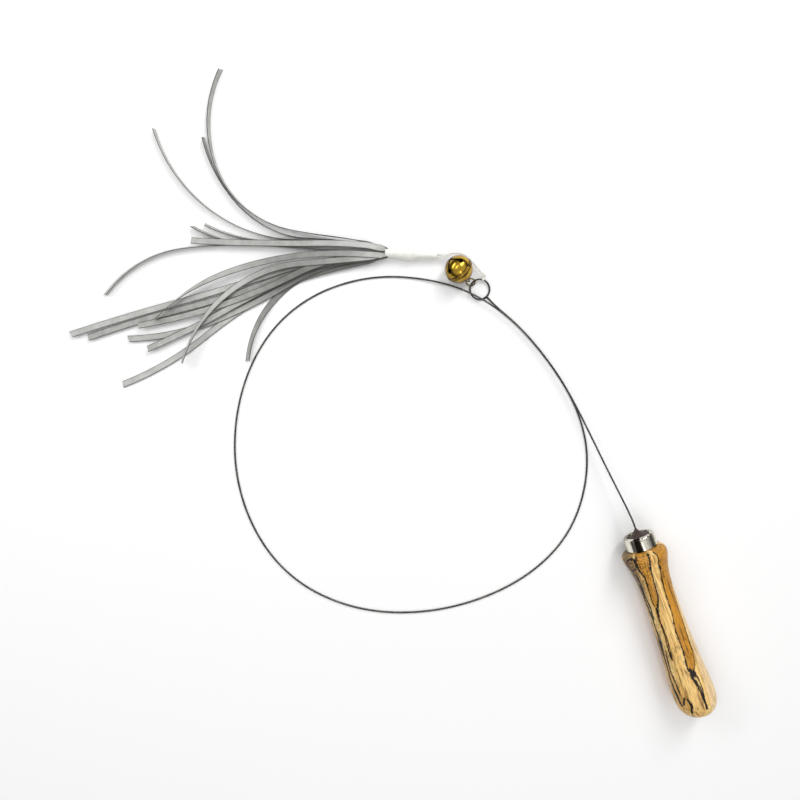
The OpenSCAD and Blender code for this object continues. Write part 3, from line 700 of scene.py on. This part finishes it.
# Ferrule with its rolled rim, and the potting that climbs the wire
ferruleRows = [(-3.4, 8.0), (-2.6, 7.3), (-2.0, 6.95), (-1.3, 6.74), (-0.8, 6.72), (-0.35, 6.95), (-0.08, 7.35),
               (0.0, 7.75), (-0.06, 8.3), (-0.3, 8.85), (-0.8, 9.28), (-1.5, 9.47), (-2.4, 9.5), (-5.0, 9.5),
               (-7.8, 9.5), (-8.45, 9.48), (-8.58, 9.2), (-8.5, 8.72), (-6.0, 8.7), (-4.2, 8.6)]
ferrulePiece = turned("nickelFerrule", ferruleRows + ferruleRows[:1], 64, handleMatrix, 2, joined=True)
dress(ferrulePiece, "wand", nickelFinish, "ferrule_metal", "ferrule")
coneRows = [(-3.2, 7.9), (-2.0, 7.2), (-1.25, 6.85), (-0.95, 6.45), (-0.45, 5.5), (0.25, 4.3), (1.05, 3.1),
            (1.95, 2.0), (2.8, 1.25), (3.4, 0.95), (3.65, 0.8), (3.72, 0.5)]
conePiece = turned("pottingCone", coneRows, 40, handleMatrix, 2)
potting = {"bumps": 0.16, "grain": 420}
for vertex in conePiece.data.vertices:
    vertex.co += potting["bumps"] * mm * noise.noise(vertex.co * potting["grain"]) * handleAlong
dress(conePiece, "wand", pottingFinish, "potting", "potting_plug")
repaint("adhesive_sleeve", pottingFinish)
repaint("wire_tang", wireFinish)
print("Handle, ferrule and potting turned")

# Eye: a closed ring that runs into its neck, blended where they meet
eye = {"at": (101.5, 54.5), "radius": 6.4, "wire": 0.6, "tilt": 8.0, "heading": 124.0}
eyeHigh = eye["wire"] + eye["radius"] * sin(radians(eye["tilt"]))
eyeMatrix = placed((*eye["at"], eyeHigh), (0, -eye["tilt"], eye["heading"]))
ringSteps = 32
ringTurns = [2 * pi * k / ringSteps for k in range(ringSteps)]
ringPoints = [(eye["radius"] * cos(turn), eye["radius"] * sin(turn), 0) for turn in ringTurns]
eyePiece = bentWire("steelEye", ringPoints, eye["wire"], eyeMatrix, 4, 4, cyclic=True)
neckPoints = [Vector(wire["end"]) - back * neckDirection for back in (3.3, 2.3, 1.1, 0.0)]
neckPiece = bentWire("steelNeck", neckPoints, eye["wire"], Matrix(), 6, 4)
eyePiece = joinAll([eyePiece, neckPiece])
applyModifier(eyePiece, "REMESH", mode="VOXEL", voxel_size=0.13 * mm)
applyModifier(eyePiece, "SMOOTH", factor=0.5, iterations=10)
bpy.ops.object.shade_smooth()
dress(eyePiece, "wand", eyeFinish, "eye_steel", "wire_eye")
print("Eye made")


# Cord tied round the eye: two turns, and a small trefoil knot beside them
def tiePlace(heading, out, high):
    a = radians(heading)
    ring = eyeHigh + eye["radius"] * sin(radians(eye["tilt"])) * cos(a - radians(eye["heading"]))
    return Vector((eye["at"][0] + (eye["radius"] + out) * cos(a), eye["at"][1] + (eye["radius"] + out) * sin(a),
                   ring + high))


tie = {"heading": 52.0, "reach": 0.98, "yarn": 0.34, "spread": 7.5, "turns": 2.25, "phase": 0.4, "steps": 40}
tiePoints = []
for t in [k / tie["steps"] for k in range(tie["steps"] + 1)]:
    turn = 2 * pi * tie["turns"] * t + tie["phase"]
    tiePoints.append(tiePlace(tie["heading"] + tie["spread"] * (t - 0.5), tie["reach"] * cos(turn),
                              tie["reach"] * sin(turn)))
tiePiece = bentWire("cordTie", tiePoints, tie["yarn"], Matrix(), 4, 3)
dress(tiePiece, "wand", yarnFinish, "white_cord", "cord_loop")
knot = {"at": (107.103, 61.671, 1.7660), "size": 0.30, "yarn": 0.30, "steps": 36}
knotPoints = [Vector(knot["at"]) + knot["size"] * Vector((
    sin(t) + 2 * sin(2 * t), 0.8 * (cos(t) - 2 * cos(2 * t)), -1.6 * sin(3 * t)))
    for t in [2 * pi * k / knot["steps"] for k in range(knot["steps"])]]
knotPiece = bentWire("cordKnot", knotPoints, knot["yarn"], Matrix(), 4, 3, cyclic=True)
dress(knotPiece, "lure_knot", yarnFinish, "white_cord", "cord_knot")
print("Cord tied")

# Jump ring: brass wire with a closed split
linkEye = (97.956, 59.7542, 2.3814)
jumpRing = {"radius": 2.82, "wire": 0.48, "reach": 1.2, "pitch": 28.0, "roll": -50.0, "split": 6.0, "splitAt": 35,
            "steps": 32}
linkAlong = Euler((0, -radians(jumpRing["pitch"]), radians(eye["heading"]))).to_matrix() @ Vector((1, 0, 0))
jumpMid = Vector(linkEye) + jumpRing["reach"] * linkAlong
jumpMatrix = (placed(jumpMid, (0, 90 + jumpRing["pitch"], eye["heading"] + 180))
              @ placed((0, 0, 0), (0, 0, jumpRing["roll"])) @ placed((0, 0, 0), (90, 0, 0)))
splitHalf = radians(jumpRing["split"] / 2)
jumpPoints = []
for k in range(jumpRing["steps"] + 1):
    turn = radians(jumpRing["splitAt"]) + splitHalf + (2 * pi - 2 * splitHalf) * k / jumpRing["steps"]
    jumpPoints.append((jumpRing["radius"] * cos(turn), jumpRing["radius"] * sin(turn), 0))
jumpPiece = bentWire("brassRing", jumpPoints, jumpRing["wire"], jumpMatrix, 4, 4)
dress(jumpPiece, "jump_ring", brassFinish, "ring_brass", "jump_ring")


# Bell: two thin shells, a rolled belt, and a wire shank
def bellShell(name, upper):
    bpy.ops.object.select_all(action="DESELECT")
    bpy.ops.mesh.primitive_uv_sphere_add(segments=96, ring_count=64, radius=bell["radius"] * mm)
    shell = bpy.context.object
    shell.name = shell.data.name = name
    bpy.ops.object.mode_set(mode="EDIT")
    bpy.ops.mesh.select_all(action="SELECT")
    bpy.ops.mesh.bisect(plane_co=(0, 0, bell["seam"] * mm), plane_no=(0, 0, 1), clear_inner=upper,
                        clear_outer=not upper)
    bpy.ops.object.mode_set(mode="OBJECT")
    applyModifier(shell, "SOLIDIFY", thickness=bell["wall"] * mm, offset=-1.0)
    return shell


cup = bellShell("bellCup", upper=False)
slotDeep = bell["radius"] * (1 + cos(radians(bell["reach"]))) / 2
slotTall = bell["radius"] * (1 - cos(radians(bell["reach"]))) + bell["overrun"]
for turn in (0, 90):
    bpy.ops.mesh.primitive_cube_add(size=1, location=(0, 0, 0))
    cutter = bpy.context.object
    cutter.scale = (1.96 * bell["radius"] * mm, bell["slot"] * mm, slotTall * mm)
    cutter.rotation_euler = (0, 0, radians(turn + bell["turn"]))
    cutter.location = (0, 0, -(slotDeep + bell["overrun"] / 2) * mm)
    cutBy(cup, cutter)
    for side in (-1, 1):
        place = placed((0, 0, 0), (0, 0, turn + bell["turn"])) @ placed((0, 0, 0), (0, side * bell["reach"], 0))
        bpy.ops.mesh.primitive_cylinder_add(vertices=40, radius=bell["hole"] * mm, depth=bell["holeDeep"] * mm)
        cutter = bpy.context.object
        cutter.matrix_world = place @ placed((0, 0, -bell["radius"]))
        cutBy(cup, cutter)
applyModifier(cup, "BEVEL", width=bell["softEdge"] * mm, segments=2, limit_method="ANGLE", angle_limit=radians(38))
bpy.ops.object.shade_smooth_by_angle(angle=radians(40))
settle(cup, bellMatrix)
dress(cup, "bell", goldFinish, "bell_gold", "bell_cup")
crown = bellShell("bellCrown", upper=True)
bpy.ops.object.shade_smooth_by_angle(angle=radians(40))
settle(crown, bellMatrix)
dress(crown, "bell", goldFinish, "bell_gold", "bell_crown")
beltRows = [(-0.85, 8.66), (-0.88, 8.86), (-0.72, 9.02), (-0.42, 9.10), (-0.14, 9.06), (-0.02, 8.90), (0.02, 8.90),
            (0.14, 9.06), (0.42, 9.10), (0.72, 9.02), (0.88, 8.86), (0.85, 8.66)]
beltRows = [(high + bell["seam"], radius) for high, radius in beltRows]
beltPiece = turned("bellBelt", beltRows + beltRows[:1], 80, bellMatrix, 1, joined=True)
dress(beltPiece, "bell", goldFinish, "bell_gold")
for side in (-1, 1):
    groove = [(side * bell["grooveAt"] + bell["seam"] + bell["grooveWide"] * cos(a),
               bell["grooveRadius"] + bell["grooveDeep"] * sin(a)) for a in [2 * pi * k / 8 for k in range(9)]]
    seamPiece = turned("bellSeam" + ("Cup" if side < 0 else "Crown"), groove, 80, bellMatrix, 1, joined=True)
    dress(seamPiece, "bell", seamFinish, "ring_brass")
bowHigh = bell["radius"] + bell["rise"]
legLow = math.sqrt((bell["radius"] - bell["wall"]) ** 2 - bell["bow"] ** 2) - bell["sunk"]
legPoints = [(0, bell["bow"], bowHigh), (0, bell["bow"], bowHigh - bell["leg"]), (0, bell["bow"], legLow)]
bowReach = bell["bow"] * bell["fuller"]
shankPoints = [(0, -y, z) for _, y, z in reversed(legPoints)]
shankPoints += [(0, -bowReach * cos(pi * k / 8), bowHigh + bowReach * sin(pi * k / 8)) for k in range(1, 8)]
shankPoints += legPoints
shankMatrix = bellMatrix @ placed((0, 0, 0), (0, 0, bell["shankTurn"]))
shankPiece = bentWire("bellShank", shankPoints, bell["shank"], shankMatrix, 6, 4)
dress(shankPiece, "bell", brassFinish, "ring_brass", "bell_shank")
repaint("bell_clapper", ballFinish)
print("Bell built")

# Sleeve: shrunk over the knot, its mouth cut back where the two bunches of strips enter
sleeveMatrix = placed(sleeve["at"], (0, 90, sleeve["heading"]))
sleeveRows = [(0.0, 2.62), (-0.5, 2.76), (-2.0, 2.82), (-4.0, 2.98), (-6.0, 3.24), (-8.0, 3.50), (-10.0, 3.78),
              (-11.6, 4.20), (-13.0, 4.44), (-14.4, 4.48), (-15.8, 4.28), (-17.0, 3.70), (-18.2, 3.18), (-19.6, 2.84),
              (-21.4, 2.58), (-24.0, 2.42), (-28.0, 2.36), (-31.4, 2.40), (-32.0, 2.32)]
innerRows = [(high + (0.05 if k else 0.0), radius - sleeve["wall"]) for k, (high, radius) in enumerate(sleeveRows)]
sleevePiece = turned("whiteSleeve", sleeveRows + innerRows[::-1] + sleeveRows[:1], 40, Matrix(), 2, joined=True)
for vertex in sleevePiece.data.vertices:
    at = vertex.co / mm
    around = atan2(at.y, at.x)
    notch = max(0.0, 1 - abs(abs(around) - pi / 2) / sleeve["notchWide"])
    back = (sleeve["notch"] * notch - sleeve["lip"]) * eased(1 + at.z / sleeve["mouthLong"])
    creases = sleeve["crease"] * noise.noise(Vector((at.x * 0.16, at.y * 0.16, at.z * 0.30)))
    creases += sleeve["ridge"] * sin(3 * around + at.z * 0.5) * eased((at.z + 12) / 8)
    out = Vector((at.x, at.y, 0)).normalized()
    vertex.co = (at + Vector((0, 0, -back)) + creases * out) * mm
settle(sleevePiece, sleeveMatrix)
dress(sleevePiece, "lure", sleeveFinish, "white_sleeve", "lure_sleeve")
plugRows = [(-30.4, 1.84), (-31.7, 1.75), (-31.5, 1.2), (-31.75, 0.75), (-32.3, 0.5)]
plugPiece = turned("sleevePlug", plugRows, 24, sleeveMatrix, 1)
fray = {"count": 7, "thick": 0.10, "shortest": 3.5, "longest": 7.0, "root": 1.0, "seed": 17}
frays = random.Random(fray["seed"])
strayFibres = []
for k in range(fray["count"]):
    turn, reach = frays.uniform(0, 2 * pi), frays.uniform(fray["shortest"], fray["longest"])
    aim = Vector((cos(turn) * frays.uniform(0.6, 1.9), sin(turn) * frays.uniform(0.8, 2.2), 0))
    fibre = [Vector((0.5 * cos(turn), 0.5 * sin(turn), fray["root"] - sleeve["length"])),
             Vector((0.9 * cos(turn), 0.9 * sin(turn), -0.4 - sleeve["length"])),
             0.6 * aim + Vector((0, 0, -sleeve["length"] - 0.55 * reach)),
             aim + Vector((0, 0, -sleeve["length"] - reach))]
    strayFibres.append(bentWire("strayFibre%d" % k, fibre, fray["thick"], sleeveMatrix, 5, 1))
plugPiece = joinAll([plugPiece] + strayFibres)
dress(plugPiece, "lure", yarnFinish, "white_cord", "sleeve_knot")
print("Sleeve shrunk")

# Strips: flat ribbons that follow the solids, with cupped faces, soft edges and a little waviness
strips = {"long": 204.0, "wide": 4.0, "thick": 0.5, "steps": 84, "flare": 4.0, "upper": 7, "count": 16,
          "edgePitch": 0.65, "flatPitch": 0.55, "drop": 75.0, "tilt": 8.0, "tiltOver": 20.0, "cup": 0.05,
          "ripple": 9.0, "swellOver": 9.0, "swellFrom": 18.0, "swellEnd": 45.0, "cutFrom": 0.97, "skin": 0.08,
          "softEdge": 0.10, "seed": 40}
stripSlots = ("grey_strip", "grey_strip_dark", "grey_strip_light")
lengths = [0.92, 0.72, 0.87, 0.56, 0.60, 0.91, 0.59, 0.58, 0.91, 0.84, 0.95, 1.00, 0.79, 0.79, 0.76, 0.75]
headings = [
    (-5, -12, -68, -113), (-5, -4, -45, -75), (-5, -2, -37, -71), (-5, -1, -2, -24), (-4, -1, 2, -28),
    (1, -2, 8, 57), (-4, 1, 2, -1),
    (6, 22, 54, 88), (10, 28, 42, 24), (2, 34, 25, 4), (5, 24, 17, 22), (2, 21, 18, 21),
    (0, 28, 32, 26), (-2, 30, 21, 12), (8, 8, 44, 77), (-4, 9, 24, 50)]
leans = [
    (90, 80), (90, 90), (90, 88), (90, 70), (90, 75), (90, 60), (0, 0),
    (0, 45), (0, 0), (0, 0), (0, 0), (0, 0), (0, 0), (0, 0), (0, 60), (0, 75)]
onEdge, inStack = strips["upper"] - 1, strips["count"] - strips["upper"]
stackLow = sleeve["at"][2] - inStack * strips["flatPitch"] / 2
stackHigh = stackLow + inStack * strips["flatPitch"]
fanLow = stackHigh - strips["wide"] - strips["thick"] - strips["flatPitch"] / 2
stripMatrix = placed(sleeve["at"], (0, 0, sleeve["heading"]))


def headingAt(row, t):
    part = min(int(3 * t), 2)
    return row[part] + (row[part + 1] - row[part]) * (3 * t - part)


def stripLow(k, down):
    if k < onEdge:
        root, rest = fanLow, 0.0
    elif k == onEdge:
        root = fanLow + strips["wide"] + strips["flatPitch"] / 2
        rest = strips["wide"] + strips["flatPitch"] / 2
    else:
        rest = (k - strips["upper"]) * strips["flatPitch"]
        root = stackLow + rest
    return root * (1 - down) + rest * down


def stripSide(k):
    if k < onEdge:
        return -(onEdge - k - 0.5) * strips["edgePitch"]
    return (-1 if k == onEdge else 1) * (strips["wide"] + strips["thick"]) / 2


# How far a strip swells sideways just outside the sleeve, so that the edges below it show
def stripSwell(k):
    if k < onEdge:
        return -1.9 + 0.3 * k
    return -0.9 if k == onEdge else 1.9 - 0.2 * (k - strips["upper"])


def ribbon(k):
    length, steps = strips["long"] * lengths[k], strips["steps"]
    seeded = random.Random(strips["seed"] + k)
    phase, wave = seeded.uniform(0, 6.28), seeded.uniform(0.9, 1.3)
    slant = seeded.uniform(-0.9, 0.9)
    piece = plainGrid(steps)
    piece.name = piece.data.name = "strip%02d" % (k + 1)
    at = Vector((strips["flare"], stripSide(k), 0))
    line = [at]
    for i in range(steps):
        h = radians(headingAt(headings[k], (i + 0.5) / steps))
        at = at + length / steps * Vector((cos(h), sin(h), 0))
        line.append(at)
    for vertex in piece.data.vertices:
        i = round((vertex.co.x + 0.5) * steps)
        v = vertex.co.y * 2
        t = i / steps
        out = t * length
        h = radians(headingAt(headings[k], t)) if i else 0.0
        tilted = strips["tilt"] * eased(out / strips["tiltOver"]) if leans[k][0] else 0.0
        lean = radians(leans[k][0] + (leans[k][1] - leans[k][0]) * eased(2 * t - 1) - tilted)
        down = eased(out / strips["drop"])
        side = Vector((-sin(h), cos(h), 0))
        wide = strips["wide"] / 2 * (cos(lean) * side + Vector((0, 0, sin(lean))))
        face = Vector((0, 0, cos(lean))) - sin(lean) * side
        high = stripLow(k, down) + abs(wide.z) + strips["thick"] / 2 * abs(face.z)
        cup = strips["cup"] * v * v + strips["cup"] * sin(wave * out / strips["ripple"] + phase) * v
        tip = slant * v * eased((t - strips["cutFrom"]) / (1 - strips["cutFrom"]))
        swell = eased(out / strips["swellOver"]) * (1 - eased((out - strips["swellFrom"]) / strips["swellEnd"]))
        place = line[i] + Vector((0, 0, high - sleeve["at"][2])) + v * wide + cup * face
        place += tip * Vector((cos(h), sin(h), 0)) + stripSwell(k) * swell * side
        vertex.co = place * mm
    applyModifier(piece, "SOLIDIFY", thickness=(strips["thick"] - strips["skin"]) * mm, offset=0.0)
    applyModifier(piece, "BEVEL", width=strips["softEdge"] * mm, segments=2, limit_method="ANGLE",
                  angle_limit=radians(60))
    bpy.ops.object.shade_smooth_by_angle(angle=radians(50))
    settle(piece, stripMatrix)
    dress(piece, "lure", stripFinishes[k % 3], stripSlots[k % 3], "strip_%02d" % (k + 1))


for k in range(strips["count"]):
    ribbon(k)


# Folded heads: the strips' own stubs, drawn into two tapering bunches at the mouth of the sleeve
folds = {"steps": 14, "from": -4.5, "over": 5.0, "gatherFrom": -2.3, "gatherOver": 2.4, "openFrom": -0.1,
         "openOver": 3.9, "tightest": 1.85, "atMouth": 1.25, "opened": 3.2, "flatAt": 2.25, "thick": 0.38, "seed": 80}


def foldedHeads():
    stubs = []
    for k in range(strips["count"]):
        stub = plainGrid(folds["steps"])
        nudge = random.Random(folds["seed"] + k).uniform(-0.5, 0.5)
        bunch = -1 if k < strips["upper"] else 1
        middle = stripSide(k) if k < onEdge else bunch * folds["flatAt"]
        low = stripLow(k, 0.0) - sleeve["at"][2]
        for vertex in stub.data.vertices:
            t, v = vertex.co.x + 0.5, vertex.co.y * 2
            x = folds["from"] + (strips["flare"] + folds["over"]) * t
            gather = eased((x - folds["gatherFrom"]) / folds["gatherOver"])
            spreadOut = min(max((x - folds["openFrom"]) / folds["openOver"], 0.0), 1.0)
            layer = max(0, k - strips["upper"]) / (inStack - 1)
            if k < onEdge:
                wide = Vector((0, middle, low + strips["wide"] / 2 + v * strips["wide"] / 2))
                mouth = Vector((0, -1.80 + 0.42 * (middle + 2.0), v * 1.7))
                tight = Vector((0, -0.85 + 0.25 * (middle + 2.0), v * 1.3))
            else:
                wide = Vector((0, middle + v * strips["wide"] / 2, low + strips["thick"] / 2))
                curl = 0.8 * v * v * (-1 if low > 0 else 1)
                mouth = Vector((0, bunch * 1.66 + v * (1.40 - 0.75 * layer) + 0.5 * nudge * layer,
                                (low + 0.25) * 0.60 + curl + 0.2 * nudge))
                tight = Vector((0, bunch * 0.85 + v * 0.75, (low + 0.25) * 0.42 + 0.5 * curl))
            place = tight.lerp(mouth, gather).lerp(wide, spreadOut)
            radius = math.hypot(place.y, place.z)
            limit = folds["tightest"] + folds["atMouth"] * gather + folds["opened"] * spreadOut
            if radius > limit:
                place = place * (limit / radius)
            place.x = x + 0.5 * nudge * (1 - spreadOut)
            vertex.co = place * mm
        applyModifier(stub, "SOLIDIFY", thickness=folds["thick"] * mm, offset=0.0)
        stubs.append(stub)
    heads = joinAll(stubs)
    heads.name = heads.data.name = "foldedHeads"
    bpy.ops.object.shade_smooth_by_angle(angle=radians(50))
    settle(heads, stripMatrix)
    dress(heads, "lure", headFinish, "grey_strip", "strip_folds")


foldedHeads()
print("Strips laid")

# Pale table, soft lamps and a plain studio round them
table = {"size": 12.0, "top": -0.00002, "grey": 0.95, "rough": 0.75, "fadeFrom": 0.40, "fadeTo": 1.1}
bpy.ops.object.select_all(action="DESELECT")
bpy.ops.mesh.primitive_plane_add(size=table["size"], location=(0, 0, table["top"]))
floor = bpy.context.object
floor.name = floor.data.name = "paleTable"
material, place = startMaterial("paleTable")
near = place.node("BsdfPrincipled", {"Base Color": (table["grey"],) * 3 + (1,), "Roughness": table["rough"]})
white = place.node("Emission", {"Color": (1, 1, 1, 1), "Strength": 1.0})
away = place.node("VectorMath", {0: place}, 1, operation="LENGTH")
faded = place.node("LightPath") * rise(away, table["fadeFrom"], table["fadeTo"])
place.node("OutputMaterial", {"Surface": place.node("MixShader", {0: faded, 1: near, 2: white})})
floor.data.materials.append(material)

world = bpy.data.worlds.new("studio")
scene.world = world
world.use_nodes = True
world.node_tree.nodes.clear()
sky = Shade(world.node_tree)
_, _, skyHigh = parts(sky.node("TexCoord"))
studio = {"level": 0.80, "walls": (0.07, 0.07, 0.07, 1), "ceiling": (0.95, 0.95, 0.95, 1), "from": 0.30, "to": 0.80}
room = mixed(rise(skyHigh, studio["from"], studio["to"]), studio["walls"], studio["ceiling"])
room = mixed(sky.node("LightPath"), room, (1 / studio["level"],) * 3 + (1,))
sky.node("OutputWorld", {"Surface": sky.node("Background", {"Color": room, "Strength": studio["level"]})})

lamps = [
    {"name": "keyLamp", "at": (0.70, 0.55, 0.80), "tall": 0.70, "wide": 0.22, "power": 5.6},
    {"name": "sideLamp", "at": (-0.52, 0.70, 0.68), "tall": 0.16, "wide": 0.75, "power": 2.4},
    {"name": "overLamp", "at": (-0.22, 0.34, 1.08), "tall": 0.12, "wide": 0.60, "power": 1.6},
    {"name": "lowLamp", "at": (0.10, -0.75, 0.95), "tall": 0.60, "wide": 0.20, "power": 1.6}]
for lamp in lamps:
    bpy.ops.object.light_add(type="AREA", location=lamp["at"])
    light = bpy.context.object
    light.name = lamp["name"]
    light.data.shape = "RECTANGLE"
    light.data.size = lamp["wide"]
    light.data.size_y = lamp["tall"]
    light.data.energy = lamp["power"]
    light.rotation_euler = (-Vector(lamp["at"])).to_track_quat("-Z", "Y").to_euler()
scene.view_settings.view_transform = "Standard"
print("Studio lit")
